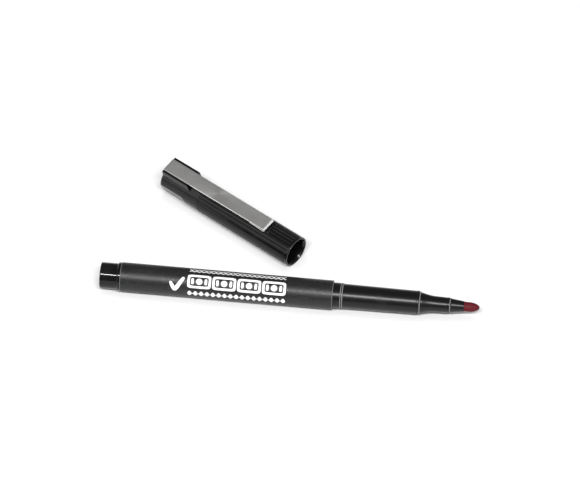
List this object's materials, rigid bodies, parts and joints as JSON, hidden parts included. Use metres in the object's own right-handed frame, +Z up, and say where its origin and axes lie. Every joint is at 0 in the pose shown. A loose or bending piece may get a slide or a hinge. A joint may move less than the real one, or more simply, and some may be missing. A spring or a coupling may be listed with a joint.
{
  "type": "counterfeit detector pen",
  "caption": "Slim round marker pen for testing banknotes, lying uncapped with a bullet fibre nib, its ribbed cap with a flat metal pocket clip beside it.",
  "frame": {"origin": "on the surface the pen lies on, under the middle of the whole layout's bounding box", "axes": "+X along the pen from its rear end to its nib, +Y to the side where the cap lies, +Z up"},
  "size_m": [0.133, 0.0586, 0.0133],
  "materials": {
    "gloss_black": "glossy moulded",
    "matte_film": "fine matte printed film",
    "nib_fibre": "bonded fibre wetted with dark maroon fluid",
    "reservoir_fibre": "soft bundled fibre, soaked",
    "wrap_film": "thin clear film",
    "liner_plastic": "smooth moulded",
    "clip_steel": "satin sheet steel"
  },
  "bodies": {
    "pen": {"barrel": "gloss_black", "barrel_label": "matte_film", "end_plug": "gloss_black", "front_section": "gloss_black", "nib": "nib_fibre", "reservoir_core": "reservoir_fibre", "reservoir_wrap": "wrap_film"},
    "cap": {"cap_shell": "gloss_black", "inner_cap": "liner_plastic"},
    "clip": {"pocket_clip": "clip_steel"}
  },
  "joints": [
    {"name": "cap_pull", "type": "slide", "parent": "pen", "child": "cap", "axis": [-0.8434, 0.5373, 0], "range_m": [0, 0.066]},
    {"name": "clip_flex", "type": "hinge", "parent": "cap", "child": "clip", "pos_m": [-0.04844, 0.02429, 0.00833], "axis": [-0.5307, -0.833, -0.1564], "range_deg": [0, 2.5], "stiffness_Nm_per_rad": 0.4}
  ]
}
